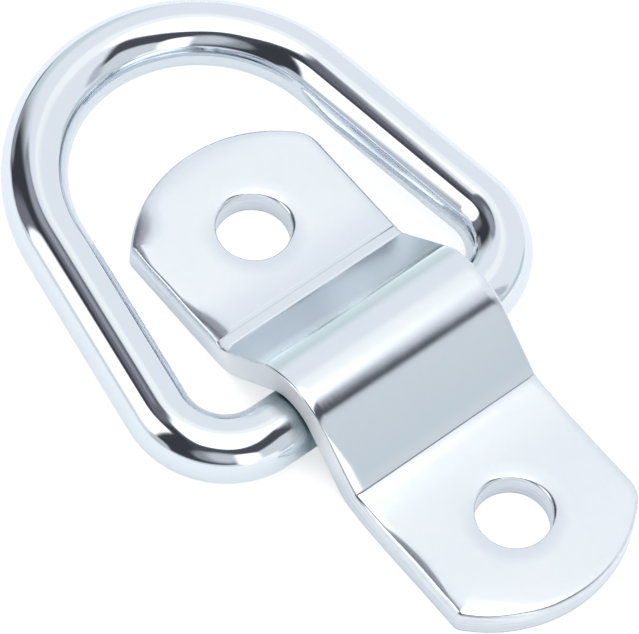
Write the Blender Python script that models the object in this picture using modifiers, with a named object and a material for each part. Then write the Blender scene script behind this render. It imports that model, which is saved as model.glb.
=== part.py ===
"""Bolt-on D ring tie-down: a bent steel strap, bolted down at both ends, whose hump traps a D shaped ring.

Frame: metres, +Z up from the mounting surface, +X along the strap. The ring lies back over the -X tab.
The origin is under the middle of the whole object's outline, on the mounting surface.
"""
import math

import bmesh
import bpy

MM = 0.001

# Round bar that the ring is bent from
BAR_DIAMETER = 6.35 * MM
RING_CORNER_RADIUS = 6.8 * MM           # bend at each end of the straight bar, on the bar's centre line
ARM_TAPER = math.radians(8.9)           # how much each arm leans in towards the bow
BOW_TO_TAB_GAP = 9.1 * MM               # inside of the bow to the end of the tab that it surrounds
RING_PLAY_LEFT = 2.3 * MM               # straight bar left over beside the strap, -Y side
RING_PLAY_RIGHT = 0.4 * MM              # the same, +Y side
RING_REST_LIFT = math.radians(2.4)      # the ring's lean above the mounting surface as it lies
WELD_BEAD_HEIGHT = 0.12 * MM            # butt weld in the middle of the straight bar, under the hump
WELD_BEAD_LENGTH = 2.4 * MM

# Strap
STRAP_THICKNESS = 3.0 * MM
STRAP_WIDTH = 21.5 * MM
TOP_EDGE_ROUND = 0.35 * MM
BOTTOM_EDGE_ROUND = 0.15 * MM
END_RADIUS_OVER_HALF_WIDTH = 3.4 * MM   # the tab ends are flatter than a half circle by this much radius
END_CORNER_RADIUS = 2.9 * MM

# Hump
BAR_CLEARANCE = 0.3 * MM                # around the bar, and between the bar and the mounting surface
BAR_SHIFT = 0.1 * MM                    # the bar lies this far to -X of the hump's middle, in its clearance
HUMP_SHIFT = 0.2 * MM                   # the hump stands this far to -X of the strap's middle
LEG_ANGLE = math.radians(42.4)
FOOT_RADIUS_A = 1.75 * MM               # inside of the bend into the tab that the ring lies over
FOOT_RADIUS_B = 3.0 * MM                # the same, other tab

# Bolt holes
HOLE_DIAMETER = 7.14 * MM
HOLE_TO_FOOT = 7.85 * MM                # start of the bend at the wider foot to the hole's centre
HOLE_TO_END = 9.95 * MM                 # hole's centre to the tip of the tab
HOLE_RIM_ROUND = 0.25 * MM

# Facets
BEND_STEP = math.radians(5.0)
OUTLINE_STEP = math.radians(6.0)
HOLE_SIDES = 48
ROUND_SEGMENTS = 3
BAR_RESOLUTION = 8                      # gives a bar of 20 sides

WELD_DISTANCE = 1e-7                    # metres, for closing meshes made from curves
FLAT_ANGLE = math.radians(0.5)          # faces that meet flatter than this are one face
CUT_MARGIN = 2.0 * MM                   # how far cutters stand proud of what they cut

# Sizes that follow from the ones above
BAR_RADIUS = BAR_DIAMETER / 2
AXIS_HEIGHT = BAR_RADIUS + BAR_CLEARANCE
CREST_RADIUS = BAR_RADIUS + BAR_CLEARANCE + STRAP_THICKNESS


def foot_distance(foot_radius):
    """Distance from the hump's middle to the start of the bend at a foot, on the tab's top face."""
    leg_top_x = CREST_RADIUS * math.sin(LEG_ANGLE)
    leg_top_z = AXIS_HEIGHT + CREST_RADIUS * math.cos(LEG_ANGLE)
    leg_end_z = STRAP_THICKNESS + foot_radius * (1 - math.cos(LEG_ANGLE))
    leg_run = (leg_top_z - leg_end_z) / math.tan(LEG_ANGLE)
    return leg_top_x + leg_run + foot_radius * math.sin(LEG_ANGLE)


FOOT_A = -HUMP_SHIFT - foot_distance(FOOT_RADIUS_A)
FOOT_B = -HUMP_SHIFT + foot_distance(FOOT_RADIUS_B)
HALF_HOLE_SPACING = max(-FOOT_A, FOOT_B) + HOLE_TO_FOOT
TAB_REACH = HALF_HOLE_SPACING + HOLE_TO_END
HALF_WIDTH = STRAP_WIDTH / 2
END_RADIUS = HALF_WIDTH + END_RADIUS_OVER_HALF_WIDTH

BAR_BEHIND_MIDDLE = HUMP_SHIFT + BAR_SHIFT
RING_LENGTH = TAB_REACH - BAR_BEHIND_MIDDLE + BOW_TO_TAB_GAP + BAR_RADIUS
HALF_STRAIGHT_BAR = HALF_WIDTH + (RING_PLAY_LEFT + RING_PLAY_RIGHT) / 2
STRAP_Y = (RING_PLAY_LEFT - RING_PLAY_RIGHT) / 2
STRAP_X = (BAR_BEHIND_MIDDLE + RING_LENGTH * math.cos(RING_REST_LIFT) + BAR_RADIUS - TAB_REACH) / 2
BAR_X = STRAP_X - BAR_BEHIND_MIDDLE


def arc(centre, radius, start, end, step):
    """Points along an arc in a plane, both ends included; angles in radians."""
    count = max(2, math.ceil(abs(end - start) / step))
    points = []
    for index in range(count + 1):
        angle = start + (end - start) * index / count
        points.append((centre[0] + radius * math.cos(angle), centre[1] + radius * math.sin(angle)))
    return points


def strap_surface(depth):
    """The strap's side view at a depth below its top face, from the -X end to the +X end."""
    reach = TAB_REACH + CUT_MARGIN
    quarter = math.pi / 2
    foot_a = (FOOT_A, STRAP_THICKNESS + FOOT_RADIUS_A)
    foot_b = (FOOT_B, STRAP_THICKNESS + FOOT_RADIUS_B)
    hump = (-HUMP_SHIFT, AXIS_HEIGHT)
    points = [(-reach, STRAP_THICKNESS - depth)]
    points += arc(foot_a, FOOT_RADIUS_A + depth, -quarter, LEG_ANGLE - quarter, BEND_STEP)
    points += arc(hump, CREST_RADIUS - depth, quarter + LEG_ANGLE, quarter - LEG_ANGLE, BEND_STEP)
    points += arc(foot_b, FOOT_RADIUS_B + depth, -quarter - LEG_ANGLE, -quarter, BEND_STEP)
    points.append((reach, STRAP_THICKNESS - depth))
    return points


def end_outline():
    """The +X tab's end in plan: a wide arc with a smaller arc at each corner, from -Y to +Y."""
    centre_x = TAB_REACH - END_RADIUS
    corner_radius = min(END_CORNER_RADIUS, HALF_WIDTH)
    corner_y = HALF_WIDTH - corner_radius
    corner_x = centre_x + math.sqrt((END_RADIUS - corner_radius) ** 2 - corner_y ** 2)
    turn = math.atan2(corner_y, corner_x - centre_x)
    points = arc((corner_x, -corner_y), corner_radius, -math.pi / 2, -turn, OUTLINE_STEP)
    points += arc((centre_x, 0), END_RADIUS, -turn, turn, OUTLINE_STEP)[1:]
    points += arc((corner_x, corner_y), corner_radius, turn, math.pi / 2, OUTLINE_STEP)[1:]
    return points


def ring_half():
    """Half of the ring's centre line in its own plane, from the bar's weld to the bow: (out, along the bar)."""
    bead_half = WELD_BEAD_LENGTH / 2
    corner = (RING_CORNER_RADIUS, HALF_STRAIGHT_BAR)
    lean = (math.sin(ARM_TAPER), math.cos(ARM_TAPER))
    arm_start = (corner[0] + RING_CORNER_RADIUS * lean[0], corner[1] + RING_CORNER_RADIUS * lean[1])
    distance = arm_start[0] * lean[0] + arm_start[1] * lean[1]
    bow_radius = (distance - RING_LENGTH * lean[0]) / (1 - lean[0])
    arm_angle = math.pi / 2 - ARM_TAPER
    points = [(0.0, 0.0), (0.0, bead_half / 2), (0.0, bead_half)]
    points += arc(corner, RING_CORNER_RADIUS, math.pi, arm_angle, OUTLINE_STEP)
    points += arc((RING_LENGTH - bow_radius, 0), bow_radius, arm_angle, 0, OUTLINE_STEP)
    return points


def material(name, colour, roughness):
    """A plated steel finish."""
    finish = bpy.data.materials.new(name)
    finish.use_nodes = True
    shader = finish.node_tree.nodes["Principled BSDF"]
    shader.inputs["Base Color"].default_value = (*colour, 1.0)
    shader.inputs["Metallic"].default_value = 1.0
    shader.inputs["Roughness"].default_value = roughness
    return finish


def poly_curve(name, points, collection):
    """A closed curve of straight steps through flat points."""
    data = bpy.data.curves.new(name, "CURVE")
    spline = data.splines.new("POLY")
    spline.points.add(len(points) - 1)
    for point, (x, y) in zip(spline.points, points):
        point.co = (x, y, 0.0, 1.0)
    spline.use_cyclic_u = True
    curve = bpy.data.objects.new(name, data)
    collection.objects.link(curve)
    return curve


def plate(name, points, half_thickness, collection):
    """A flat outline given a thickness both ways from its plane."""
    curve = poly_curve(name, points, collection)
    curve.data.dimensions = "2D"
    curve.data.fill_mode = "BOTH"
    curve.data.extrude = half_thickness
    return curve


def to_mesh(source, collection):
    """The evaluated shape of an object as a plain mesh object in its place; the source is removed."""
    bpy.context.view_layer.update()
    graph = bpy.context.evaluated_depsgraph_get()
    mesh = bpy.data.meshes.new_from_object(source.evaluated_get(graph))
    name = source.name
    matrix = source.matrix_world.copy()
    bpy.data.objects.remove(source)
    solid = bpy.data.objects.new(name, mesh)
    solid.matrix_world = matrix
    collection.objects.link(solid)
    shape = bmesh.new()
    shape.from_mesh(mesh)
    bmesh.ops.remove_doubles(shape, verts=shape.verts, dist=WELD_DISTANCE)
    bmesh.ops.dissolve_limit(shape, angle_limit=FLAT_ANGLE, verts=shape.verts, edges=shape.edges)
    bmesh.ops.recalc_face_normals(shape, faces=shape.faces)
    shape.to_mesh(mesh)
    shape.free()
    return solid


def cut(target, cutter, operation):
    """An exact Boolean with a hidden cutter."""
    cutter.hide_render = True
    cutter.display_type = "WIRE"
    boolean = target.modifiers.new(cutter.name, "BOOLEAN")
    boolean.operation = operation
    boolean.solver = "EXACT"
    boolean.object = cutter


def round_edges(solid):
    """Rolls over the edges between the strap's side walls and its top face, and less at the bottom face."""
    mesh = solid.data
    for upward, radius in ((True, TOP_EDGE_ROUND), (False, BOTTOM_EDGE_ROUND)):
        shape = bmesh.new()
        shape.from_mesh(mesh)
        shape.normal_update()
        edges = []
        for edge in shape.edges:
            heights = sorted(face.normal.y if upward else -face.normal.y for face in edge.link_faces)
            if abs(heights[0]) < math.sin(FLAT_ANGLE) and heights[1] > math.cos(LEG_ANGLE) / 2:
                edges.append(edge)
        bmesh.ops.bevel(shape, geom=edges, offset=radius, offset_type="OFFSET", segments=ROUND_SEGMENTS,
                        profile=0.5, affect="EDGES", clamp_overlap=True)
        shape.to_mesh(mesh)
        shape.free()


def hole_cutter(name, x, collection):
    """A turned cutter for one bolt hole: the bore, then the eased rim, opening above the tab."""
    bore = HOLE_DIAMETER / 2
    rim = arc((bore + HOLE_RIM_ROUND, STRAP_THICKNESS - HOLE_RIM_ROUND), HOLE_RIM_ROUND,
              math.pi / 2, math.pi, math.pi / 2 / ROUND_SEGMENTS)
    profile = [(0.0, STRAP_THICKNESS + CUT_MARGIN), (bore + HOLE_RIM_ROUND, STRAP_THICKNESS + CUT_MARGIN)]
    profile += rim
    profile += [(bore, -CUT_MARGIN), (0.0, -CUT_MARGIN)]
    mesh = bpy.data.meshes.new(name)
    mesh.from_pydata([(radius, 0.0, z) for radius, z in profile],
                     [(index, index + 1) for index in range(len(profile) - 1)], [])
    cutter = bpy.data.objects.new(name, mesh)
    collection.objects.link(cutter)
    cutter.location = (x, STRAP_Y, 0.0)
    turn = cutter.modifiers.new("turn", "SCREW")
    turn.steps = HOLE_SIDES
    turn.render_steps = HOLE_SIDES
    turn.use_merge_vertices = True
    turn.merge_threshold = 0.00001
    return cutter


def make_bracket(parts, cutters):
    """The strap: its side view drawn through, trimmed to its plan, edges rolled over and holes punched."""
    side_view = strap_surface(0.0) + strap_surface(STRAP_THICKNESS)[::-1]
    strap = plate("mounting_bracket", side_view, HALF_WIDTH + CUT_MARGIN, parts)
    strap.location = (STRAP_X, STRAP_Y, 0.0)
    strap.rotation_euler = (math.pi / 2, 0.0, 0.0)
    strap = to_mesh(strap, parts)

    end = end_outline()
    plan = end + [(-x, -y) for x, y in end]
    trim = plate("strap_outline", plan, AXIS_HEIGHT + CREST_RADIUS + CUT_MARGIN, cutters)
    trim.location = (STRAP_X, STRAP_Y, 0.0)
    trim = to_mesh(trim, cutters)
    cut(strap, trim, "INTERSECT")
    strap = to_mesh(strap, parts)
    round_edges(strap)

    for name, side in (("bolt_hole_a", -1), ("bolt_hole_b", 1)):
        cut(strap, hole_cutter(name, STRAP_X + side * HALF_HOLE_SPACING, cutters), "DIFFERENCE")
    strap.data.materials.append(material("satin_zinc_plate", (0.80, 0.83, 0.88), 0.28))
    strap.data.shade_smooth()
    strap.data.set_sharp_from_angle(angle=math.radians(30))
    return strap


def make_ring(parts):
    """The D ring: round bar along the ring's centre line, turning on the straight bar under the hump."""
    half = ring_half()
    left = [(-out, along) for out, along in half]
    right = [(out, -along) for out, along in left[-2:0:-1]]
    ring = poly_curve("d_ring", left + right, parts)
    ring.data.dimensions = "3D"
    ring.data.bevel_depth = BAR_RADIUS
    ring.data.bevel_resolution = BAR_RESOLUTION
    for point in ring.data.splines[0].points:
        if point.co.x > -WELD_DISTANCE and abs(point.co.y) < WELD_BEAD_LENGTH / 2 - WELD_DISTANCE:
            bead = math.cos(math.pi * point.co.y / WELD_BEAD_LENGTH)
            point.radius = 1 + bead * WELD_BEAD_HEIGHT / BAR_RADIUS
    ring.data.use_fill_caps = True
    ring.location = (BAR_X, 0.0, AXIS_HEIGHT)
    ring.rotation_euler = (0.0, RING_REST_LIFT, 0.0)
    ring.data.materials.append(material("bright_zinc_plate", (0.86, 0.88, 0.92), 0.08))
    return ring


def main():
    for item in list(bpy.data.objects):
        bpy.data.objects.remove(item)
    parts = bpy.data.collections.new("bolt_on_d_ring_tie_down")
    cutters = bpy.data.collections.new("cutters")
    bpy.context.scene.collection.children.link(parts)
    bpy.context.scene.collection.children.link(cutters)
    make_bracket(parts, cutters)
    make_ring(parts)


main()
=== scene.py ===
"""Bolt-on D ring tie-down in bright plated steel on a white studio floor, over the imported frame. Metres."""

import math

import bmesh
import bpy
import numpy as np
from mathutils import Matrix, Vector
from mathutils.geometry import delaunay_2d_cdt

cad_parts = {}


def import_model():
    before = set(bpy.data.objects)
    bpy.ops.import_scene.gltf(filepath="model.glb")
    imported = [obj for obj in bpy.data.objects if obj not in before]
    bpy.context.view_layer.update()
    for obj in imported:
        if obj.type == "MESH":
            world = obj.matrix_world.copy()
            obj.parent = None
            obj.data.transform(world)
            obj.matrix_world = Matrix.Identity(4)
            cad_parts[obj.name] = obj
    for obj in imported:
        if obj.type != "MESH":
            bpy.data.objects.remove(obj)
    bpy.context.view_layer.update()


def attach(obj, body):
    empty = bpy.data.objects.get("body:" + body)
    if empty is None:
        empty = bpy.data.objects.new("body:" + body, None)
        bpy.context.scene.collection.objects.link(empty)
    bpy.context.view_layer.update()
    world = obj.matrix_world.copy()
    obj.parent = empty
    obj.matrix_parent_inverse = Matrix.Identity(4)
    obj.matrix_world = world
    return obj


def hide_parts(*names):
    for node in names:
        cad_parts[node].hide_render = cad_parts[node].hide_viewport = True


MM = 0.001
TO_MM = 1000.0

# The ring, and the straight bar that it swings on
BAR_RADIUS = 3.175 * MM
BAR_X = 7.407 * MM
AXIS_HEIGHT = 3.475 * MM
HALF_STRAIGHT_BAR = 12.1 * MM
RING_CORNER_RADIUS = 6.8 * MM
ARM_TAPER = math.radians(8.9)
RING_LENGTH = 40.861 * MM
RING_REST_LIFT = math.radians(2.4)

# The strap in plan, from the middle between its two holes, where the strip's own coordinates begin too
STRAP_X = 7.707 * MM
STRAP_Y = 0.95 * MM
HALF_WIDTH = 10.75 * MM
TAB_REACH = 28.886 * MM
END_RADIUS = 14.15 * MM
NEAR_CORNER_RADIUS = 1.05 * MM
FAR_CORNER_RADIUS = 2.9 * MM
HALF_HOLE_SPACING = 18.936 * MM
HOLE_RADIUS = 3.57 * MM

# The strap in side view
STRAP_THICKNESS = 3.0 * MM
HUMP_SHIFT = 0.2 * MM
CREST_RADIUS = 6.475 * MM
LEG_ANGLE = math.radians(42.4)
LEG_ANGLE_B = math.radians(43.3)
FOOT_A = -11.001 * MM
FOOT_RADIUS_A = 1.75 * MM
# Tab B's bend runs out in steps: each step's radius, and the slope at which it ends
FOOT_B_STEPS = ((0.45 * MM, math.radians(15)), (10.0 * MM, math.radians(6)), (30.0 * MM, 0.0))

# What shearing and punching leave: rounded edges, and a top face that rolls over or dips beside them
TOP_EDGE_ROUND = 0.35 * MM
BOTTOM_EDGE_ROUND = 0.15 * MM
HOLE_RIM_ROUND = 0.25 * MM
HOLE_FOOT_ROUND = 0.08 * MM
EDGE_ROLL = 0.05 * MM
EDGE_ROLL_WIDTH = 1.0 * MM
# Where the roll passes into the rounded edge: its distance from the wall as a share of the rounding's radius
ROUND_BEGINS = 0.8
HOLE_DIP = 0.09 * MM
HOLE_DIP_WIDTH = 1.7 * MM
# Rounding of the -Y edge's top, by distance along the strip, both in millimetres
NEAR_EDGE_ROUND = ((-12.0, 0.5), (-10.5, 0.22), (7.0, 0.22), (13.0, 0.3), (15.0, 0.5))
# How squarely the outline faces -Y where that rounding begins to count, and where it counts fully
NEAR_SIDE = (0.875, 1.0)
# Places where the top edge rolls over more: distance along the strip, across it and reach in millimetres,
# and how much more
ROLL_SPOTS = ((-25.0, -10.0, 4.0, 1.6), (-12.5, -10.75, 4.0, 1.6), (21.5, -10.75, 4.0, 1.0),
              (11.6, -10.75, 2.4, 2.6))
# Where the hole rims are rounded more or less: direction and reach in degrees, and how much more
RIM_SPOTS = ((70.0, 28.0, 0.9), (184.0, 22.0, 0.8), (135.0, 24.0, -0.6))

# Creases beside foot A: distance along the strip in millimetres, and slope of the polished surface in degrees
CREASE = ((-11.6, 0.0), (-11.27, 8.0), (-11.16, 31.0), (-11.05, 10.0), (-10.85, 4.0), (-10.55, 13.0),
          (-10.42, 17.0), (-10.28, 5.0), (-10.02, -3.0), (-9.9, 10.0), (-9.76, 36.0), (-9.6, 42.4))
CREASE_FLAT = 0.9 * MM
CREASE_STEP = 0.06 * MM
# The creases bend down leg A within this distance of the -Y edge, and by this much at the edge
CREASE_HOOK_WIDTH = 1.2 * MM
CREASE_HOOK = 1.0 * MM
# How far the polished surface leans towards +X: distance along the strip in millimetres, and degrees;
# on tab B the distance counts from where its bend's tightest step ends
LEAN_A = ((-28.5, -0.5), (-27.5, 0.2), (-26.0, 2.6), (-24.5, 3.0), (-17.5, 3.4), (-15.5, 2.4),
          (-13.5, -0.4), (-11.7, -2.5), (-11.6, 0.0), (-5.0, 0.0), (-3.8, 3.0), (-2.7, 6.0))
LEAN_B = ((0.0, 0.0), (1.2, 0.5), (2.0, 2.2), (3.0, 2.2), (4.2, 1.2), (6.0, -0.3), (9.0, -1.2),
          (12.0, -1.2), (16.5, -0.5))
# The same over the crest, by slope in degrees, which falls from leg A to leg B
LEAN_CREST = ((-43.0, 0.0), (-36.0, 0.0), (-31.6, 0.9), (-28.0, 0.0), (-24.6, -0.5), (-21.0, -1.0),
              (-18.0, -1.7), (-9.0, 0.1), (-3.0, 1.6), (5.0, 2.0), (15.0, 0.5), (28.0, 0.3), (36.0, 3.5),
              (43.0, 6.0))
# Rubbed places on the tabs' edges: distance along the strip, across it, reach along the edge and width in
# millimetres, then degrees of tilt towards the edge
RUBS = ((-25.6, -9.1, 3.6, 1.9, 20.0), (-27.6, -5.0, 7.0, 0.6, 14.0), (-23.9, -10.75, 2.2, 0.9, 20.0),
        (-18.0, -10.75, 5.0, 0.45, 22.0), (-11.6, -10.75, 4.6, 1.7, 23.0), (22.6, -10.75, 5.2, 1.0, 22.0),
        (27.3, -10.3, 1.1, 0.5, 34.0), (29.5, -8.6, 9.0, 2.2, 7.0), (31.2, -6.2, 2.8, 0.55, 34.0))
RUB_END = -11.2 * MM
# How far tab A's rubbed places lean on towards -Y, against 1 for straight outwards
RUB_TWIST = 0.4
# A rubbed place's width far from its middle, against 1 at the middle
RUB_NARROWEST = 0.35
# The tilt at which the finish counts as fully worn
FULL_WEAR = math.radians(18)
# A worn facet along leg B's -Y edge, widening on its way down: its full width, its tilt towards the edge,
# how steeply it widens, and the power by which the widening slows
FACET_WIDTH = 1.2 * MM
FACET_TILT = math.radians(18)
FACET_FLARE = 1.5
FACET_FLARE_POWER = 0.7
# Where leg A's rougher finish and painted light, and leg B's painted shade, fade in and out, from each leg's
# beginning
LEG_A_REACH = (-0.3 * MM, 0.3 * MM, 6.2 * MM, 7.6 * MM)
LEG_B_REACH = (0.0, 5.6 * MM, 6.0 * MM)

# Fineness of the meshes
RING_STEP = math.radians(1.5)
BAR_STEPS = 12
ARM_STEPS = 24
BAR_BEVEL_STEPS = 22
BEND_STEP = math.radians(2.0)
OUTLINE_STEP = math.radians(2.5)
FLAT_STEP = 0.5 * MM
NET_STEP = 0.6 * MM
NET_GAP = 0.6 * NET_STEP
NET_TOLERANCE = 1e-6
INSIDE_SHARE = 0.9995
EDGE_ROLL_ROWS = 8
HOLE_DIP_ROWS = 10
ROUND_SEGMENTS = 6
WALL_ROWS = 6
HOLE_SIDES = 144
BATCH = 1000
WELD_DISTANCE = 1e-7
FLAT_ANGLE = math.radians(0.2)


def add_object(name, data):
    """A new object in the scene."""
    made = bpy.data.objects.new(name, data)
    bpy.context.scene.collection.objects.link(made)
    return made


def side_piece(length, turn):
    """A piece of the side view: length, turn upwards and the spacing of the rows of points on it."""
    return length, turn, length * BEND_STEP / abs(turn) if turn else FLAT_STEP


def strap_side_view():
    """The strap's top face in side view as pieces laid end to end from the -X tip."""
    leg_a = (AXIS_HEIGHT + CREST_RADIUS * math.cos(LEG_ANGLE) - STRAP_THICKNESS
             - FOOT_RADIUS_A * (1 - math.cos(LEG_ANGLE)))
    leg_b = AXIS_HEIGHT + CREST_RADIUS * math.cos(LEG_ANGLE_B) - STRAP_THICKNESS
    foot_b = CREST_RADIUS * math.sin(LEG_ANGLE_B) - HUMP_SHIFT
    bends = []
    slope = LEG_ANGLE_B
    for radius, end in FOOT_B_STEPS:
        bends.append(side_piece(radius * (slope - end), slope - end))
        leg_b -= radius * (math.cos(end) - math.cos(slope))
        foot_b += radius * (math.sin(slope) - math.sin(end))
        slope = end
    foot_b += leg_b / math.tan(LEG_ANGLE_B)
    crest = LEG_ANGLE + LEG_ANGLE_B
    return (side_piece(FOOT_A + TAB_REACH - CREASE_FLAT, 0.0),
            (CREASE_FLAT, 0.0, CREASE_STEP),
            side_piece(FOOT_RADIUS_A * LEG_ANGLE, LEG_ANGLE),
            (CREASE_HOOK, 0.0, CREASE_STEP),
            side_piece(leg_a / math.sin(LEG_ANGLE) - CREASE_HOOK, 0.0),
            side_piece(CREST_RADIUS * crest, -crest),
            side_piece(leg_b / math.sin(LEG_ANGLE_B), 0.0),
            *bends,
            side_piece(TAB_REACH - foot_b, 0.0))


SIDE_VIEW = strap_side_view()
BEGINS = [sum(piece[0] for piece in SIDE_VIEW[:index]) - TAB_REACH for index in range(len(SIDE_VIEW) + 1)]
LEG_A_BEGIN, CREST_BEGIN, LEG_B_BEGIN, FOOT_B_BEGIN, RUN_OUT_BEGIN = BEGINS[3], *BEGINS[5:9]
STRIP_LENGTH = BEGINS[-1] + TAB_REACH
TAB_B_SHIFT = STRIP_LENGTH - 2 * TAB_REACH


def stations(along):
    """Point and slope of the top face in side view, by distance along the strip; on tab A that is x."""
    along = np.asarray(along, dtype=float)
    x, z, slope = np.zeros_like(along), np.zeros_like(along), np.zeros_like(along)
    begin, start_x, start_z, start_slope = -TAB_REACH, -TAB_REACH, STRAP_THICKNESS, 0.0
    for length, turn, _ in SIDE_VIEW:
        run = np.clip(along - begin, 0.0, length)
        inside = along >= begin
        if turn:
            radius = length / turn
            here = start_slope + run / radius
            here_x = start_x + radius * (np.sin(here) - math.sin(start_slope))
            here_z = start_z - radius * (np.cos(here) - math.cos(start_slope))
        else:
            here = np.full_like(run, start_slope)
            here_x = start_x + run * math.cos(start_slope)
            here_z = start_z + run * math.sin(start_slope)
        x = np.where(inside, here_x, x)
        z = np.where(inside, here_z, z)
        slope = np.where(inside, here, slope)
        if turn:
            end_slope = start_slope + turn
            start_x += radius * (math.sin(end_slope) - math.sin(start_slope))
            start_z -= radius * (math.cos(end_slope) - math.cos(start_slope))
            start_slope = end_slope
        else:
            start_x += length * math.cos(start_slope)
            start_z += length * math.sin(start_slope)
        begin += length
    return x, z, slope


def along_and_up(slope):
    """Unit vectors along the strip and straight up from its top face, for each slope."""
    level = np.zeros_like(slope)
    along = np.column_stack([np.cos(slope), level, np.sin(slope)])
    return along, np.column_stack([-np.sin(slope), level, np.cos(slope)])


def corner_middle(radius):
    """Centre of a tab corner's arc in plan, at +X +Y, and the direction in which it meets the end's arc."""
    centre = TAB_REACH - END_RADIUS
    across = HALF_WIDTH - radius
    along = centre + math.sqrt((END_RADIUS - radius) ** 2 - across ** 2)
    return along, across, math.atan2(across, along - centre)


def strip_rows():
    """Distances along the strip between the rounded ends, closer together in the bends."""
    corner = corner_middle(FAR_CORNER_RADIUS)[0]
    rows = []
    begin = -TAB_REACH
    for length, _, step in SIDE_VIEW:
        first, last = max(begin, -corner), min(begin + length, corner + TAB_B_SHIFT)
        count = math.ceil((last - first) / step)
        rows += [first + (last - first) * index / count for index in range(count)]
        begin += length
    return rows + [corner + TAB_B_SHIFT]


def strap_outline():
    """The strap's plan, once round: for each point an arc centre, an arc radius and an outward direction."""
    centre = TAB_REACH - END_RADIUS
    near, near_y, near_turn = corner_middle(NEAR_CORNER_RADIUS)
    far, far_y, far_turn = corner_middle(FAR_CORNER_RADIUS)
    quarter = math.pi / 2
    rows = strip_rows()
    beyond = np.arange(far + FLAT_STEP / 2, near, FLAT_STEP).tolist()
    points = []

    def sweep(middle, across, radius, start, end):
        count = math.ceil((end - start) / OUTLINE_STEP)
        for index in range(count):
            angle = start + (end - start) * index / count
            points.append((middle, across, radius, math.cos(angle), math.sin(angle)))

    sweep(near + TAB_B_SHIFT, -near_y, NEAR_CORNER_RADIUS, -quarter, -near_turn)
    sweep(centre + TAB_B_SHIFT, 0.0, END_RADIUS, -near_turn, far_turn)
    sweep(far + TAB_B_SHIFT, far_y, FAR_CORNER_RADIUS, far_turn, quarter)
    points += [(row, 0.0, HALF_WIDTH, 0.0, 1.0) for row in rows[:0:-1]]
    sweep(-far, far_y, FAR_CORNER_RADIUS, quarter, 2 * quarter - far_turn)
    sweep(-centre, 0.0, END_RADIUS, 2 * quarter - far_turn, 2 * quarter + near_turn)
    sweep(-near, -near_y, NEAR_CORNER_RADIUS, 2 * quarter + near_turn, 3 * quarter)
    sides = [-near] + [-row for row in beyond[::-1]] + rows + [row + TAB_B_SHIFT for row in beyond]
    points += [(row, 0.0, HALF_WIDTH, 0.0, -1.0) for row in sides]
    return np.array(points)


def nearest(points, border):
    """For each point, the distance to the nearest point of a border, and that one's number."""
    apart, which = np.empty(len(points)), np.empty(len(points), dtype=int)
    for start in range(0, len(points), BATCH):
        part = slice(start, start + BATCH)
        distances = np.linalg.norm(points[part, None] - border[None], axis=2)
        apart[part] = distances.min(axis=1)
        which[part] = distances.argmin(axis=1)
    return apart, which


def inside_round(point, loop):
    """Whether a point is inside a loop that runs once round its middle at a slowly varying radius."""
    middle = (loop.min(axis=0) + loop.max(axis=0)) / 2
    out = loop - middle
    turn = np.arctan2(out[:, 1], out[:, 0]) - math.atan2(point[1] - middle[1], point[0] - middle[0])
    facing = np.cos(turn).argmax()
    return np.linalg.norm(point - middle) < INSIDE_SHARE * np.linalg.norm(out[facing])


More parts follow.
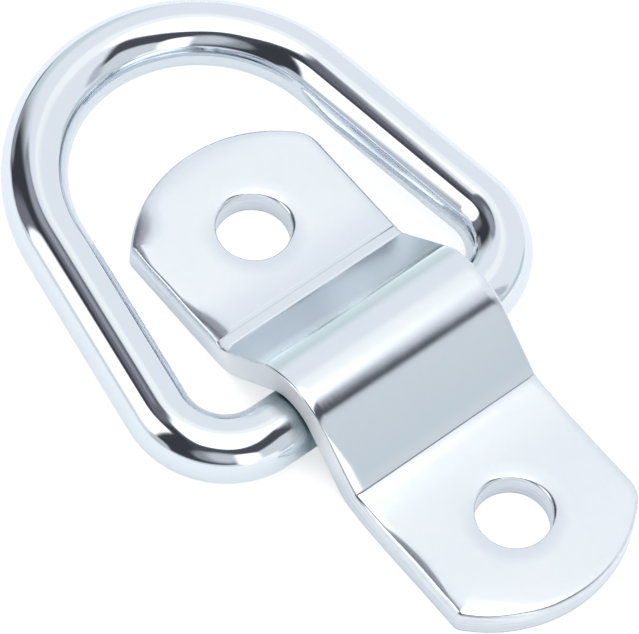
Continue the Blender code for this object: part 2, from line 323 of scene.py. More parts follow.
class Shell:
    """The strap's surface, gathered loop by loop in strip coordinates and bent into place."""

    def __init__(self):
        self.strip, self.outward, self.tilt, self.faces = [], [], [], []
        self.count = 0

    def add(self, along, across, depth, outward, tilt):
        """Points at a depth below the top face, their normals tilted from it towards an outward direction."""
        size = len(along)
        self.strip.append(np.column_stack([along, across, np.broadcast_to(depth, size)]))
        self.outward.append(np.broadcast_to(outward, (size, 2)))
        self.tilt.append(np.broadcast_to(tilt, size))
        self.count += size
        return list(range(self.count - size, self.count))

    def bands(self, loops):
        """Faces between each closed loop and the next, all of as many points."""
        for first, second in zip(loops, loops[1:]):
            turned = zip(first, first[1:] + first[:1], second[1:] + second[:1], second)
            self.faces += [tuple(corners) for corners in turned]

    def fill(self, outer, inner, depth, tilt):
        """A face inside one loop and round others, over a net of points that follows the bends."""
        strip = np.vstack(self.strip)
        border = np.concatenate([outer] + inner)
        rows = strip_rows()
        columns = np.arange(-HALF_WIDTH, HALF_WIDTH, NET_STEP)
        extra = np.arange(rows[-1] + FLAT_STEP, STRIP_LENGTH - TAB_REACH, FLAT_STEP)
        net_rows = np.concatenate([rows, extra, -TAB_REACH + (STRIP_LENGTH - TAB_REACH - extra)])
        net = np.array([(row, column) for row in net_rows for column in columns])
        net = net[nearest(net, strip[border, :2])[0] > NET_GAP]
        net_index = self.add(net[:, 0], net[:, 1], depth, (1.0, 0.0), tilt)
        index = np.concatenate([border, net_index])
        strip = np.vstack(self.strip)
        points = [Vector(point) for point in strip[index, :2] * TO_MM]
        loops = []
        begin = 0
        for loop in [outer] + inner:
            loops.append(list(range(begin, begin + len(loop))))
            begin += len(loop)
        _, _, triangles, origin, _, _ = delaunay_2d_cdt(points, [], loops, 1, NET_TOLERANCE)
        rounds = [strip[loop, :2] for loop in inner]
        for triangle in triangles:
            corners = [int(index[origin[corner][0]]) for corner in triangle]
            middle = strip[corners, :2].mean(axis=0)
            if not any(inside_round(middle, loop) for loop in rounds):
                self.faces.append(tuple(corners))

    def normals(self, strip, tilt, slope, rubbed):
        """Normals of the polished surface, turned outwards at the edges and where the strap is rubbed."""
        shown = polished_slope(strip[:, 0], strip[:, 1], slope) - slope
        along, up = along_and_up(slope + shown * np.clip(np.cos(tilt), 0.0, 1.0))
        across = np.array((0.0, 1.0, 0.0))
        lean = np.vstack(self.outward) * tilt[:, None] + rubbed
        turned = np.linalg.norm(lean, axis=1)
        towards = lean / np.maximum(turned, 1e-9)[:, None]
        side = along * towards[:, 0:1] + across * towards[:, 1:2]
        return up * np.cos(turned)[:, None] + side * np.sin(turned)[:, None]

    def bend(self, name, outline):
        """The finished mesh object, with smooth normals and the strip coordinates kept for the finish."""
        strip, tilt = np.vstack(self.strip), np.concatenate(self.tilt)
        x, z, slope = stations(strip[:, 0])
        up = along_and_up(slope)[1]
        points = np.column_stack([x, strip[:, 1], z]) - up * strip[:, 2:3] + np.array((STRAP_X, STRAP_Y, 0.0))
        rubbed = rubs(strip, tilt, outline)
        normals = self.normals(strip, tilt, slope, rubbed)
        mesh = bpy.data.meshes.new(name)
        mesh.from_pydata(points.tolist(), [], self.faces)
        kept = drop_loose(mesh)
        mesh.shade_smooth()
        mesh.normals_split_custom_set_from_vertices(normals[kept].tolist())
        strip, tilt = strip[kept], tilt[kept]
        place = mesh.attributes.new("strip", "FLOAT_VECTOR", "POINT")
        place.data.foreach_set("vector", (strip * TO_MM).ravel())
        levels = {
            "wall": np.sin(tilt) ** 4,
            "edge": np.abs(np.sin(2 * tilt)),
            "worn": np.clip(np.linalg.norm(rubbed[kept], axis=1) / FULL_WEAR, 0.0, 1.0),
            # leg_a also places leg A's painted light, and leg_b places leg B's painted shade
            "leg_a": np.interp(strip[:, 0] - LEG_A_BEGIN, LEG_A_REACH, (0.0, 1.0, 1.0, 0.0)),
            "leg_b": np.interp(strip[:, 0] - LEG_B_BEGIN, LEG_B_REACH, (0.0, 1.0, 0.0)),
        }
        for label, level in levels.items():
            mesh.attributes.new(label, "FLOAT", "POINT").data.foreach_set("value", level)
        return add_object(name, mesh)


def drop_loose(mesh):
    """Deletes the points that no face uses and turns the faces outwards; returns which points stay."""
    shape = bmesh.new()
    shape.from_mesh(mesh)
    loose = [vertex for vertex in shape.verts if not vertex.link_faces]
    kept = np.array([bool(vertex.link_faces) for vertex in shape.verts])
    bmesh.ops.delete(shape, geom=loose, context="VERTS")
    bmesh.ops.recalc_face_normals(shape, faces=shape.faces)
    shape.to_mesh(mesh)
    shape.free()
    return kept


def polished_slope(along, across, slope):
    """The slope that the polished top face shows: creased beside foot A, leaning a little elsewhere."""
    place = along / MM
    lean = np.where(along < CREST_BEGIN, np.interp(place, *zip(*LEAN_A), right=0.0), 0.0)
    lean += np.where(along > RUN_OUT_BEGIN, np.interp(place - RUN_OUT_BEGIN / MM, *zip(*LEAN_B)), 0.0)
    over = (along >= CREST_BEGIN) & (along <= LEG_B_BEGIN)
    lean += np.where(over, np.interp(np.degrees(slope), *zip(*LEAN_CREST)), 0.0)
    hook = np.clip(1 - (across + HALF_WIDTH) / CREASE_HOOK_WIDTH, 0.0, 1.0) ** 2 * CREASE_HOOK
    shifted = (along - hook) / MM
    creased = np.radians(np.interp(shifted, *zip(*CREASE)))
    near = (place > CREASE[0][0]) & (shifted < CREASE[-1][0])
    return np.where(near, creased, slope - np.radians(lean))


def rubs(strip, tilt, outline):
    """Tilt vectors of the rubbed places on the top face, in radians, as parts along and across the strip."""
    edge = outline[:, 0:2] + outline[:, 2:3] * outline[:, 3:5]
    inset, beside = nearest(strip[:, :2], edge)
    total = np.zeros(len(strip))
    for along, across, reach, width, degrees in RUBS:
        away = np.linalg.norm(edge[beside] - np.array((along, across)) * MM, axis=1) / (reach * MM)
        near = np.exp(-away ** 2)
        narrowing = width * MM * (RUB_NARROWEST + (1 - RUB_NARROWEST) * near)
        total = np.maximum(total, math.radians(degrees) * near * np.exp(-(inset / narrowing) ** 2))
    twist = np.column_stack([np.zeros(len(strip)), RUB_TWIST * (edge[beside, 0] < 0)])
    towards = outline[beside, 3:5] - twist
    lean = towards / np.linalg.norm(towards, axis=1)[:, None] * total[:, None]
    lean *= ((strip[:, 0] <= RUB_END) | (strip[:, 0] >= LEG_B_BEGIN))[:, None]

    down_leg = (strip[:, 0] - LEG_B_BEGIN) / (FOOT_B_BEGIN - LEG_B_BEGIN)
    width = FACET_WIDTH * np.clip(FACET_FLARE * down_leg, 1e-6, 1.0) ** FACET_FLARE_POWER
    facet = np.exp(-((strip[:, 1] + HALF_WIDTH) / width) ** 4) * (down_leg > 0) * (down_leg < 1)
    lean[:, 1] -= np.maximum(FACET_TILT * facet - tilt, 0.0)
    on_top = np.clip(1 - tilt / (math.pi / 2), 0.0, 1.0) * (strip[:, 2] < STRAP_THICKNESS / 2)
    return lean * on_top[:, None]


def spread(points, level, spots):
    """A size at each point of the outline: a level, more in a few places."""
    along = points[:, 0] + points[:, 2] * points[:, 3]
    across = points[:, 1] + points[:, 2] * points[:, 4]
    size = np.full(len(points), level)
    for spot_along, spot_across, reach, gain in spots:
        apart = np.hypot(along - spot_along * MM, across - spot_across * MM) / (reach * MM)
        size += level * gain * np.exp(-apart ** 2)
    return size


def edge_loops(shell, outline):
    """Loops round the strap's edge: rolled and rounded top, sheared wall and the bottom's rounding."""
    outward = outline[:, 3:5]

    def loop(inset, depth, tilt):
        reach = outline[:, 2] - inset
        return shell.add(outline[:, 0] + reach * outward[:, 0], outline[:, 1] + reach * outward[:, 1],
                         depth, outward, tilt)

    roll = spread(outline, EDGE_ROLL, ROLL_SPOTS)
    near_round = np.interp((outline[:, 0] + outline[:, 2] * outward[:, 0]) / MM, *zip(*NEAR_EDGE_ROUND)) * MM
    near_side = np.interp(-outward[:, 1], NEAR_SIDE, (0.0, 1.0))
    turned = TOP_EDGE_ROUND + (near_round - TOP_EDGE_ROUND) * near_side
    start = np.arctan(2 * roll / EDGE_ROLL_WIDTH * (1 - ROUND_BEGINS * turned / EDGE_ROLL_WIDTH))
    round_inset = turned * (1 - np.sin(start))
    loops = []
    for index in range(EDGE_ROLL_ROWS + 1):
        inset = EDGE_ROLL_WIDTH + (round_inset - EDGE_ROLL_WIDTH) * index / EDGE_ROLL_ROWS
        left = 1 - inset / EDGE_ROLL_WIDTH
        loops.append(loop(inset, roll * left ** 2, np.arctan(2 * roll / EDGE_ROLL_WIDTH * left)))
    base = roll * (1 - round_inset / EDGE_ROLL_WIDTH) ** 2
    for index in range(1, ROUND_SEGMENTS + 1):
        tilt = start + (math.pi / 2 - start) * index / ROUND_SEGMENTS
        loops.append(loop(turned * (1 - np.sin(tilt)), base + turned * (np.cos(start) - np.cos(tilt)), tilt))
    top = base + turned * np.cos(start)
    end = STRAP_THICKNESS - BOTTOM_EDGE_ROUND
    for index in range(1, WALL_ROWS):
        loops.append(loop(0.0, top + (end - top) * (index / WALL_ROWS), math.pi / 2))
    for index in range(ROUND_SEGMENTS // 2 + 1):
        tilt = math.pi / 2 * (1 + index / (ROUND_SEGMENTS // 2))
        loops.append(loop(BOTTOM_EDGE_ROUND * (1 - math.sin(tilt)),
                          end - BOTTOM_EDGE_ROUND * math.cos(tilt), tilt))
    return loops


def hole_loops(shell, middle):
    """Loops down a punched hole: the dip in the top face, the rounded rim, the wall and its eased foot."""
    turn = np.arange(HOLE_SIDES) * 2 * math.pi / HOLE_SIDES
    away = np.column_stack([np.cos(turn), np.sin(turn)])

    def loop(radius, depth, tilt):
        out = np.broadcast_to(radius, HOLE_SIDES)[:, None] * away
        return shell.add(middle + out[:, 0], out[:, 1], depth, -away, tilt)

    rim_round = HOLE_RIM_ROUND * (1 + sum(
        gain * np.exp(-(((np.degrees(turn) - towards + 180) % 360 - 180) / reach) ** 2)
        for towards, reach, gain in RIM_SPOTS))
    start = math.atan(2 * HOLE_DIP / HOLE_DIP_WIDTH)
    rim = HOLE_RADIUS + rim_round * (1 - math.sin(start))
    loops = []
    for index in range(HOLE_DIP_ROWS + 1):
        share = index / HOLE_DIP_ROWS
        loops.append(loop(rim + HOLE_DIP_WIDTH * (1 - share), HOLE_DIP * share ** 2,
                          math.atan(2 * HOLE_DIP / HOLE_DIP_WIDTH * share)))
    for index in range(1, ROUND_SEGMENTS + 1):
        tilt = start + (math.pi / 2 - start) * index / ROUND_SEGMENTS
        loops.append(loop(HOLE_RADIUS + rim_round * (1 - math.sin(tilt)),
                          HOLE_DIP + rim_round * (math.cos(start) - math.cos(tilt)), tilt))
    top = HOLE_DIP + rim_round * math.cos(start)
    end = STRAP_THICKNESS - HOLE_FOOT_ROUND
    for index in range(1, WALL_ROWS):
        loops.append(loop(HOLE_RADIUS, top + (end - top) * index / WALL_ROWS, math.pi / 2))
    for index in range(ROUND_SEGMENTS // 2 + 1):
        tilt = math.pi / 2 * (1 + index / (ROUND_SEGMENTS // 2))
        loops.append(loop(HOLE_RADIUS + HOLE_FOOT_ROUND * (1 - math.sin(tilt)),
                          end - HOLE_FOOT_ROUND * math.cos(tilt), tilt))
    return loops


def make_bracket():
    """The strap as one closed skin, sheared and punched flat, then bent to its side view."""
    shell = Shell()
    outline = strap_outline()
    edge = edge_loops(shell, outline)
    shell.bands(edge)
    holes = []
    for middle in (-HALF_HOLE_SPACING, HALF_HOLE_SPACING + TAB_B_SHIFT):
        holes.append(hole_loops(shell, middle))
        shell.bands(holes[-1])
    shell.fill(edge[0], [hole[0] for hole in holes], 0.0, 0.0)
    shell.fill(edge[-1], [hole[-1] for hole in holes], STRAP_THICKNESS, math.pi)
    return shell.bend("bracket_strap", outline)


def arc(centre, radius, start, end):
    """Points along an arc in a plane, both ends included; angles in radians."""
    count = max(2, math.ceil(abs(end - start) / RING_STEP))
    points = []
    for index in range(count + 1):
        angle = start + (end - start) * index / count
        points.append((centre[0] + radius * math.cos(angle), centre[1] + radius * math.sin(angle)))
    return points


def ring_half():
    """Half of the ring's centre line in its plane, from the bar's middle to the bow: (out, along the bar)."""
    corner = (RING_CORNER_RADIUS, HALF_STRAIGHT_BAR)
    lean = (math.sin(ARM_TAPER), math.cos(ARM_TAPER))
    arm_start = (corner[0] + RING_CORNER_RADIUS * lean[0], corner[1] + RING_CORNER_RADIUS * lean[1])
    distance = arm_start[0] * lean[0] + arm_start[1] * lean[1]
    bow_radius = (distance - RING_LENGTH * lean[0]) / (1 - lean[0])
    arm_angle = math.pi / 2 - ARM_TAPER
    bar = [(0.0, HALF_STRAIGHT_BAR * index / BAR_STEPS) for index in range(BAR_STEPS)]
    bend = arc(corner, RING_CORNER_RADIUS, math.pi, arm_angle)
    bow = arc((RING_LENGTH - bow_radius, 0), bow_radius, arm_angle, 0)
    arm = []
    for index in range(1, ARM_STEPS):
        share = index / ARM_STEPS
        arm.append(tuple(a + (b - a) * share for a, b in zip(bend[-1], bow[0])))
    return bar + bend + arm + bow


def to_mesh(source):
    """The evaluated shape of an object as a plain mesh object at the origin; the source is removed."""
    bpy.context.view_layer.update()
    graph = bpy.context.evaluated_depsgraph_get()
    mesh = bpy.data.meshes.new_from_object(source.evaluated_get(graph))
    mesh.transform(source.matrix_world)
    name = source.name
    bpy.data.objects.remove(source)
    shape = bmesh.new()
    shape.from_mesh(mesh)
    bmesh.ops.remove_doubles(shape, verts=shape.verts, dist=WELD_DISTANCE)
    bmesh.ops.dissolve_limit(shape, angle_limit=FLAT_ANGLE, verts=shape.verts, edges=shape.edges)
    bmesh.ops.recalc_face_normals(shape, faces=shape.faces)
    shape.to_mesh(mesh)
    shape.free()
    return add_object(name, mesh)


def make_ring():
    """The D ring: round bar along the ring's centre line, turning on the straight bar under the hump."""
    left = [(-out, along) for out, along in ring_half()]
    loop = left + [(x, -y) for x, y in left[-2:0:-1]]
    data = bpy.data.curves.new("ring_bar", "CURVE")
    data.dimensions = "3D"
    spline = data.splines.new("POLY")
    spline.points.add(len(loop) - 1)
    for point, (x, y) in zip(spline.points, loop):
        point.co = (x, y, 0.0, 1.0)
    spline.use_cyclic_u = True
    spline.use_smooth = True
    data.bevel_depth = BAR_RADIUS
    data.bevel_resolution = BAR_BEVEL_STEPS
    ring = add_object("ring_bar", data)
    ring.location = (BAR_X, 0.0, AXIS_HEIGHT)
    ring.rotation_euler = (0.0, RING_REST_LIFT, 0.0)
    ring = to_mesh(ring)
    ring.data.shade_smooth()
    return ring


class Finish:
    """A plated metal built from procedural nodes; coordinates and heights are in millimetres."""

    def __init__(self, name):
        self.material = bpy.data.materials.new(name)
        self.material.use_nodes = True
        self.nodes = self.material.node_tree.nodes
        self.links = self.material.node_tree.links
        self.shader = self.nodes["Principled BSDF"]
        self.shader.inputs["Metallic"].default_value = 1.0

    def put(self, value, socket):
        """Links a socket into an input, or sets the input to a plain value."""
        if isinstance(value, bpy.types.NodeSocket):
            self.links.new(value, socket)
        else:
            socket.default_value = value

    def attribute(self, name, output="Fac"):
        source = self.nodes.new("ShaderNodeAttribute")
        source.attribute_name = name
        return source.outputs[output]

    def split(self, vector):
        parts = self.nodes.new("ShaderNodeSeparateXYZ")
        self.links.new(vector, parts.inputs["Vector"])
        return [parts.outputs[axis] for axis in "XYZ"]

    def stretch(self, coordinates, scale, turn=0.0):
        mapping = self.nodes.new("ShaderNodeMapping")
        mapping.inputs["Scale"].default_value = scale
        mapping.inputs["Rotation"].default_value = (0.0, 0.0, turn)
        self.links.new(coordinates, mapping.inputs["Vector"])
        return mapping.outputs["Vector"]

    def noise(self, coordinates, scale, detail=2.0, roughness=0.5):
        texture = self.nodes.new("ShaderNodeTexNoise")
        texture.inputs["Scale"].default_value = scale
        texture.inputs["Detail"].default_value = detail
        texture.inputs["Roughness"].default_value = roughness
        self.links.new(coordinates, texture.inputs["Vector"])
        return texture.outputs["Fac"]

    def remap(self, value, low, high, start=0.0, end=1.0):
        """Values from low to high spread from start to end, and held there beyond."""
        ramp = self.nodes.new("ShaderNodeMapRange")
        for name, setting in (("From Min", low), ("From Max", high), ("To Min", start), ("To Max", end)):
            ramp.inputs[name].default_value = setting
        self.links.new(value, ramp.inputs["Value"])
        return ramp.outputs["Result"]

    def math(self, operation, first, second):
        step = self.nodes.new("ShaderNodeMath")
        step.operation = operation
        self.put(first, step.inputs[0])
        self.put(second, step.inputs[1])
        return step.outputs["Value"]

    def times(self, first, second):
        return self.math("MULTIPLY", first, second)

    def zone(self, value, rise, fall):
        """1 between a rise and a fall, each from one value to another, and 0 outside them."""
        return self.times(self.remap(value, *rise), self.remap(value, *fall, 1.0, 0.0))

    def colour(self, base, *coats):
        """A colour under coats, each with its share and its own colour."""
        for share, coat in coats:
            blend = self.nodes.new("ShaderNodeMix")
            blend.data_type = "RGBA"
            self.put(share, blend.inputs["Factor"])
            self.put(base, blend.inputs["A"])
            self.put(coat, blend.inputs["B"])
            base = blend.outputs["Result"]
        return base

    def roughen(self, *levels):
        """Sets the roughness to the sum of levels."""
        rough = levels[0]
        for level in levels[1:]:
            rough = self.math("ADD", rough, level)
        self.put(rough, self.shader.inputs["Roughness"])

    def emboss(self, *layers):
        """Raises the surface by layers, each a height and what a full height is in millimetres."""
        below = None
        for height, reach in layers:
            relief = self.nodes.new("ShaderNodeBump")
            relief.inputs["Strength"].default_value = 1.0
            relief.inputs["Distance"].default_value = reach * MM
            self.links.new(height, relief.inputs["Height"])
            if below is not None:
                self.links.new(below, relief.inputs["Normal"])
            below = relief.outputs["Normal"]
        self.put(below, self.shader.inputs["Normal"])


# Colours of the plating, and the light and shade painted onto it
ZINC = (0.77, 0.81, 0.87, 1.0)
STRAP_TEAL = (0.75, 0.805, 0.865, 1.0)
RING_TEAL = (0.76, 0.815, 0.865, 1.0)
MOTTLED = (0.72, 0.77, 0.83, 1.0)
# Painted light: a paler colour on leg A's upper part and towards its +Y side
LEG_A_PAINTED_LIGHT = (0.90, 0.97, 1.0, 1.0)
# Painted shade: a darker, bluer colour over leg B
LEG_B_PAINTED_SHADE = (0.69, 0.765, 0.835, 1.0)
# Painted light and shade on the walls: lighter at the top, darker towards the foot, darkest along the foot
WALL_LIT_TOP = (0.88, 0.91, 0.96, 1.0)
WALL_SHADED_LOW = (0.74, 0.78, 0.85, 1.0)
WALL_STREAKS = (0.62, 0.66, 0.72, 1.0)
WALL_FOOT_SHADE = (0.45, 0.48, 0.53, 1.0)
# Painted light: near white on the walls beside the hump
WALL_HUMP_LIGHT = (0.98, 0.98, 1.0, 1.0)
RUBBED_EDGE = (0.70, 0.735, 0.77, 1.0)
BAR_SHADE = (0.18, 0.26, 0.29, 1.0)

# Where they lie, in millimetres: along the strip as a rise and a fall, across it, down from its top face,
# and on the ring
LEG_A_LIGHT_ZONE = ((-4.6, -3.2), (-2.2, -0.8))
HUMP_LIGHT_ALONG = ((-13.0, -10.0), (9.0, 13.0))
OVER_BAR = ((-3.5, -1.0), (7.0, 9.5))
LEG_A_LIGHT_SIDE = (-7.0, 6.0)
WALL_SHADE_DEPTH = (0.3, 2.9)
WALL_FOOT_SHADE_DEPTH = (2.7, 2.85)
BAR_SHADE_Y = (9.9, 11.9)
BAR_SHADE_X = (2.5, 3.5)


def satin_plate():
    """The strap: bright zinc over rolled steel, softer on its sheared walls, rubbed along its edges, with
    painted light on leg A and on the walls by the hump, and painted light and shade down the walls and
    painted shade on leg B.
    """
    finish = Finish("satin_zinc")
    place = finish.attribute("strip", "Vector")
    along, across, depth = finish.split(place)
    wall, edge, worn = finish.attribute("wall"), finish.attribute("edge"), finish.attribute("worn")
    leg_a, leg_b = finish.attribute("leg_a"), finish.attribute("leg_b")
    clouds = finish.noise(place, 0.16)
    mottle = finish.noise(place, 1.1, 3.0, 0.55)
    grain = finish.noise(place, 7.0, 2.0, 0.6)
    scratches = finish.noise(finish.stretch(place, (0.35, 5.0, 1.0), 0.35), 1.0, 3.0, 0.6)
    scuffs = finish.remap(scratches, 0.63, 0.74)
    shear = finish.noise(finish.stretch(place, (0.25, 0.25, 3.2)), 1.0)
    rubbed = finish.times(edge, finish.remap(mottle, 0.4, 0.6, 0.1, 0.6))

    # Painted light on leg A, paler towards its top and towards its +Y side
    far_side_light = finish.times(leg_a, finish.remap(across, *LEG_A_LIGHT_SIDE, 0.0, 0.9))
    painted_light = finish.math("MAXIMUM", finish.zone(along, *LEG_A_LIGHT_ZONE), far_side_light)
    top_face = finish.colour(ZINC,
                             (finish.remap(clouds, 0.35, 0.65), STRAP_TEAL),
                             (finish.remap(mottle, 0.3, 0.7, 0.0, 0.25), MOTTLED),
                             # Painted shade on leg B
                             (finish.times(leg_b, 0.9), LEG_B_PAINTED_SHADE),
                             (painted_light, LEG_A_PAINTED_LIGHT))
    # The walls' sheared streaks, under painted light at the top and painted shade towards and along the foot
    sheared = finish.colour(WALL_LIT_TOP,
                            (finish.remap(depth, *WALL_SHADE_DEPTH), WALL_SHADED_LOW),
                            (finish.remap(shear, 0.42, 0.6, 0.0, 0.35), WALL_STREAKS),
                            (finish.remap(depth, *WALL_FOOT_SHADE_DEPTH, 0.0, 0.7), WALL_FOOT_SHADE),
                            # Painted light on the walls beside the hump
                            (finish.times(finish.zone(along, *HUMP_LIGHT_ALONG), 0.85), WALL_HUMP_LIGHT))
    plating = finish.colour(top_face, (wall, sheared), (rubbed, RUBBED_EDGE))
    finish.put(plating, finish.shader.inputs["Base Color"])
    finish.roughen(finish.remap(clouds, 0.3, 0.7, 0.12, 0.15),
                   finish.times(leg_a, 0.20),
                   finish.remap(grain, 0.3, 0.7, -0.015, 0.015),
                   finish.times(scuffs, 0.05),
                   finish.times(wall, 0.27),
                   finish.times(finish.times(wall, finish.zone(along, *OVER_BAR)), 0.25),
                   finish.times(rubbed, 0.06),
                   finish.times(worn, 0.12))
    finish.emboss((clouds, 0.015), (mottle, 0.0012), (grain, 0.0004), (scuffs, -0.0006),
                  (finish.times(wall, shear), 0.004))
    return finish.material


def bright_plate():
    """The ring: mirror bright zinc over drawn round bar, with marks and grain, rougher beside the hump and
    with painted shade there.
    """
    finish = Finish("bright_zinc")
    source = finish.nodes.new("ShaderNodeTexCoord")
    place = finish.stretch(source.outputs["Object"], (TO_MM, TO_MM, TO_MM))
    x, y, _ = finish.split(place)
    clouds = finish.noise(place, 0.14)
    mottle = finish.noise(place, 0.9, 3.0, 0.55)
    grain = finish.noise(place, 8.0, 2.0, 0.6)
    scratches = finish.noise(finish.stretch(place, (0.5, 4.0, 4.0), 0.9), 1.0, 3.0, 0.6)
    scuffs = finish.remap(scratches, 0.64, 0.76)
    # Painted shade on the bar under the hump, which is also made rougher there
    shade = finish.times(finish.remap(finish.math("ABSOLUTE", y, 0.0), *BAR_SHADE_Y, 1.0, 0.0),
                         finish.remap(x, *BAR_SHADE_X))

    plating = finish.colour(ZINC,
                            (finish.remap(clouds, 0.35, 0.65), RING_TEAL),
                            (finish.remap(mottle, 0.3, 0.7, 0.0, 0.2), MOTTLED),
                            (finish.times(shade, 0.92), BAR_SHADE))
    finish.put(plating, finish.shader.inputs["Base Color"])
    finish.roughen(finish.remap(clouds, 0.3, 0.7, 0.045, 0.075),
                   finish.remap(grain, 0.3, 0.7, -0.01, 0.01),
                   finish.times(scuffs, 0.05),
                   finish.times(shade, 0.3))
    finish.emboss((clouds, 0.005), (mottle, 0.0006), (grain, 0.0002), (scuffs, -0.0005))
    return finish.material


# What the studio shows above the floor, from the first painted to the last: name, corners of a patch of sky
# as (azimuth from +X towards +Y, elevation) in degrees, colour, soft edge in degrees
STUDIO = (
    ("left_teal", ((146, 2), (152, 20), (178, 28), (186, 0), (156, -4)), (0.71, 0.80, 0.81), 8.0),
    ("dark_side", ((179.5, 0), (270, 89), (0.5, 0), (270, -20)), (0.050, 0.052, 0.062), 12.0),
    ("dark_shoulder", ((176, 50), (172, 60), (163, 70), (168, 77), (205, 78), (205, 50)),
     (0.09, 0.092, 0.104), 4.0),
    ("right_card", ((38, 50), (350, 45), (348, -4), (36, -4), (37, 14)), (0.76, 0.79, 0.81), 2.5),
    ("dark_wedge", ((60, 69), (50, 61.5), (41, 53), (34, 46), (4, 37), (340, 22), (300, 40), (250, 70),
                    (90, 84)), (0.082, 0.084, 0.097), 3.0),
    ("grey_finger", ((43, 48), (35, 46), (34, 20), (40, 14), (46, 20)), (0.56, 0.58, 0.63), 3.0),
    ("dark_finger", ((41, 56), (38, 42), (35.5, 36), (31, 38), (27, 44), (27, 56)), (0.08, 0.085, 0.10), 2.5),
    ("left_grey", ((176, 73), (205, 78), (245, 75), (246, 59), (215, 53), (183, 47), (176, 55)),
     (0.17, 0.17, 0.20), 4.0),
    ("left_grey_pale", ((174, 55), (176, 65), (190, 69), (208, 67), (208, 57), (187, 48)),
     (0.38, 0.38, 0.42), 4.0),
    ("left_low", ((186, 15), (203, 13), (203, -2), (184, -2)), (0.34, 0.34, 0.38), 3.0),
    ("left_low_dark", ((172, 6), (184, 6), (186, -4), (168, -4)), (0.17, 0.19, 0.23), 4.0),
    ("left_fade", ((214, 7), (215, 36), (229, 42), (234, 14), (226, 5)), (0.20, 0.20, 0.23), 5.0),
    ("lower_left_box", ((228, 49), (243, 54), (253, 56.5), (266, 54), (262, 9), (250, 6), (238, 8), (231, 14),
                        (228, 30)), (1.7, 1.7, 1.7), 2.5),
    ("grey_card_dim", ((336, 44), (318, 46), (303, 44), (296, 30), (302, 17), (320, 11), (336, 11)),
     (0.32, 0.33, 0.36), 4.0),
    ("grey_card", ((341, 36), (318, 47), (308, 36), (316, 18), (334, 14)), (0.66, 0.67, 0.70), 6.0),
    ("right_box", ((356, 34), (348, 39), (336, 39.5), (336, 6), (340, -4), (356, -4)), (1.6, 1.6, 1.6), 3.0),
    ("right_low_white", ((350, 11), (10, 11), (14, -4), (350, -4)), (1.15, 1.15, 1.15), 3.0),
    ("horizon_left", ((205, 4), (262, 4), (262, -6), (204, -6)), (0.90, 0.93, 0.95), 3.0),
    ("horizon_gap", ((234, 12), (263, 12), (263, 4), (224, 4)), (0.88, 0.92, 0.95), 2.5),
    ("horizon_notch", ((258, 13), (268, 16), (275, 14), (279, 6), (279, -6), (258, -6)),
     (0.60, 0.63, 0.65), 2.5),
    ("horizon_right", ((274, 3), (340, 6.5), (342, -6), (272, -6)), (0.84, 0.88, 0.90), 3.0),
    ("right_low_teal", ((12, 7), (40, 11), (70, 10), (78, 2), (40, 1), (12, 1)), (0.62, 0.70, 0.72), 2.5),
    ("overhead_glow", ((66, 66), (30, 68), (5, 66), (300, 74), (230, 80), (157, 68), (148, 61), (138, 56),
                       (100, 58), (78, 62)), (1.12, 1.12, 1.10), 6.0),
    ("overhead_box", ((70, 68), (50, 68), (30, 65.3), (12, 61.7), (350, 58), (332, 58), (318, 60),
                      (300, 60.5), (285, 65), (270, 68.5), (250, 72), (235, 73), (146, 71.5), (125, 71),
                      (105, 70), (85, 69)), (1.9, 1.9, 1.9), 2.5),
)
DOME_COLOUR = (0.94, 0.955, 0.985)
DOME_RADIUS = 2.0
DOME_STEP = 1.25
DOME_REACH = 100


def heading(azimuth, elevation):
    """The unit vector of a direction given in degrees."""
    turn = math.radians(azimuth)
    rise = math.radians(elevation)
    return np.array((math.cos(turn) * math.cos(rise), math.sin(turn) * math.cos(rise), math.sin(rise)))


def studio_colour(directions):
    """The studio's colour in each of an array of directions."""
    colour = np.tile(np.array(DOME_COLOUR), (len(directions), 1))
    for _, corners, paint, soft in STUDIO:
        points = [heading(*corner) for corner in corners]
        middle = sum(points)
        width = math.sin(math.radians(soft))
        mask = np.ones(len(directions))
        for first, second in zip(points, points[1:] + points[:1]):
            normal = np.cross(first, second)
            normal *= math.copysign(1.0, normal @ middle) / np.linalg.norm(normal)
            share = np.clip((directions @ normal + width) / (2 * width), 0.0, 1.0)
            mask *= share * share * (3 - 2 * share)
        colour += mask[:, None] * (np.array(paint) - colour)
    return colour


def studio_glow():
    """A glowing material that shows the colours painted on the dome."""
    glow = bpy.data.materials.new("studio_glow")
    glow.use_nodes = True
    nodes, links = glow.node_tree.nodes, glow.node_tree.links
    nodes.remove(nodes["Principled BSDF"])
    source = nodes.new("ShaderNodeAttribute")
    source.attribute_name = "studio_paint"
    light = nodes.new("ShaderNodeEmission")
    links.new(source.outputs["Color"], light.inputs["Color"])
    links.new(light.outputs["Emission"], nodes["Material Output"].inputs["Surface"])
    glow.cycles.emission_sampling = "NONE"
    return glow


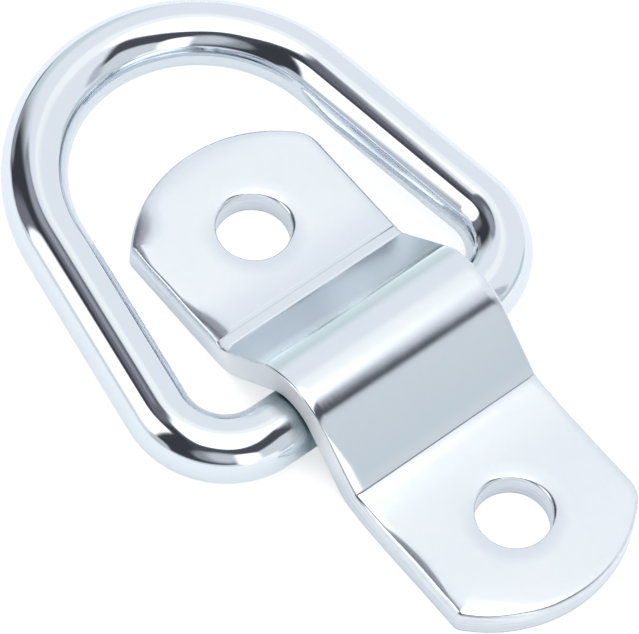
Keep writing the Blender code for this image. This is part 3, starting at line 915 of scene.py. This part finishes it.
def make_dome():
    """The studio round the part: a dome of soft-edged light and dark patches that the camera doesn't see."""
    columns = round(360 / DOME_STEP)
    rows = round(DOME_REACH / DOME_STEP)
    directions = np.array([heading(column * DOME_STEP, 90 - row * DOME_STEP)
                           for row in range(1, rows + 1) for column in range(columns)] + [heading(0, 90)])
    faces = []
    for row in range(rows - 1):
        for column in range(columns):
            beside = (column + 1) % columns
            faces.append((row * columns + column, row * columns + beside,
                          (row + 1) * columns + beside, (row + 1) * columns + column))
    faces += [(len(directions) - 1, (column + 1) % columns, column) for column in range(columns)]
    mesh = bpy.data.meshes.new("studio_dome")
    mesh.from_pydata((directions * DOME_RADIUS).tolist(), [], faces)
    paint = mesh.color_attributes.new("studio_paint", "FLOAT_COLOR", "POINT")
    colour = np.hstack([studio_colour(directions), np.ones((len(directions), 1))])
    paint.data.foreach_set("color", colour.ravel())
    mesh.materials.append(studio_glow())
    dome = add_object("studio_dome", mesh)
    dome.visible_camera = False


def make_world():
    """White past the floor."""
    world = bpy.data.worlds.new("white")
    world.use_nodes = True
    world.node_tree.nodes["Background"].inputs["Color"].default_value = (1.0, 1.0, 1.0, 1.0)
    bpy.context.scene.world = world


FLOOR_REACH = 1.5
FLOOR_DROP = 0.02 * MM
FLOOR_COLOUR = (0.92, 0.905, 0.88, 1.0)
# What the floor adds for the camera and for mirrors, so that both see it white: rays, colour and strength
FLOOR_GLOWS = (("Is Camera Ray", (1.0, 1.0, 1.0, 1.0), 0.6), ("Is Glossy Ray", (0.86, 0.95, 1.0, 1.0), 0.36))


def floor_paint():
    """Matt white that takes the part's shadow, with a glow for the camera and for mirrors."""
    paint = bpy.data.materials.new("floor_white")
    paint.use_nodes = True
    nodes, links = paint.node_tree.nodes, paint.node_tree.links
    shader = nodes["Principled BSDF"]
    shader.inputs["Base Color"].default_value = FLOOR_COLOUR
    shader.inputs["Roughness"].default_value = 0.6
    shader.inputs["Specular IOR Level"].default_value = 0.0
    path = nodes.new("ShaderNodeLightPath")
    surface = shader.outputs["BSDF"]
    for rays, colour, strength in FLOOR_GLOWS:
        glow = nodes.new("ShaderNodeEmission")
        glow.inputs["Color"].default_value = colour
        level = nodes.new("ShaderNodeMath")
        level.operation = "MULTIPLY"
        links.new(path.outputs[rays], level.inputs[0])
        level.inputs[1].default_value = strength
        links.new(level.outputs["Value"], glow.inputs["Strength"])
        add = nodes.new("ShaderNodeAddShader")
        links.new(surface, add.inputs[0])
        links.new(glow.outputs["Emission"], add.inputs[1])
        surface = add.outputs["Shader"]
    links.new(surface, nodes["Material Output"].inputs["Surface"])
    return paint


def make_floor():
    """A wide white floor just under the part."""
    mesh = bpy.data.meshes.new("floor")
    corners = [(-1, -1), (1, -1), (1, 1), (-1, 1)]
    mesh.from_pydata([(x * FLOOR_REACH, y * FLOOR_REACH, 0) for x, y in corners], [], [(0, 1, 2, 3)])
    mesh.materials.append(floor_paint())
    floor = add_object("floor", mesh)
    floor.location.z = -FLOOR_DROP


# The photograph's camera, fitted to the part's outlines: its right, up and back directions, its place, and
# its lens and sensor in millimetres
CAMERA_AXES = ((0.6267573, 0.7766231, 0.0634971),
               (-0.6899123, 0.5152028, 0.5085146),
               (0.3622103, -0.3625227, 0.8587089))
CAMERA_PLACE = (163.244 * MM, -163.613 * MM, 389.724 * MM)
CAMERA_LENS = 274.638
CAMERA_SENSOR = 36.0
CAMERA_NEAR, CAMERA_FAR = 0.01, 20.0


def make_camera():
    """The photograph's viewpoint."""
    data = bpy.data.cameras.new("camera")
    data.sensor_width = CAMERA_SENSOR
    data.lens = CAMERA_LENS
    data.clip_start = CAMERA_NEAR
    data.clip_end = CAMERA_FAR
    camera = add_object("camera", data)
    place = Matrix(CAMERA_AXES).transposed().to_4x4()
    place.translation = CAMERA_PLACE
    camera.matrix_world = place
    bpy.context.scene.camera = camera


def main():
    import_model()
    bracket = make_bracket()
    ring = make_ring()
    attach(bracket, "bracket")
    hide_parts("mounting_bracket")
    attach(ring, "ring")
    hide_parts("d_ring")
    for piece, finish in ((bracket, satin_plate()), (ring, bright_plate())):
        piece.data.materials.clear()
        piece.data.materials.append(finish)
    make_floor()
    make_dome()
    make_world()
    make_camera()
    bpy.context.scene.view_settings.view_transform = "Standard"


main()
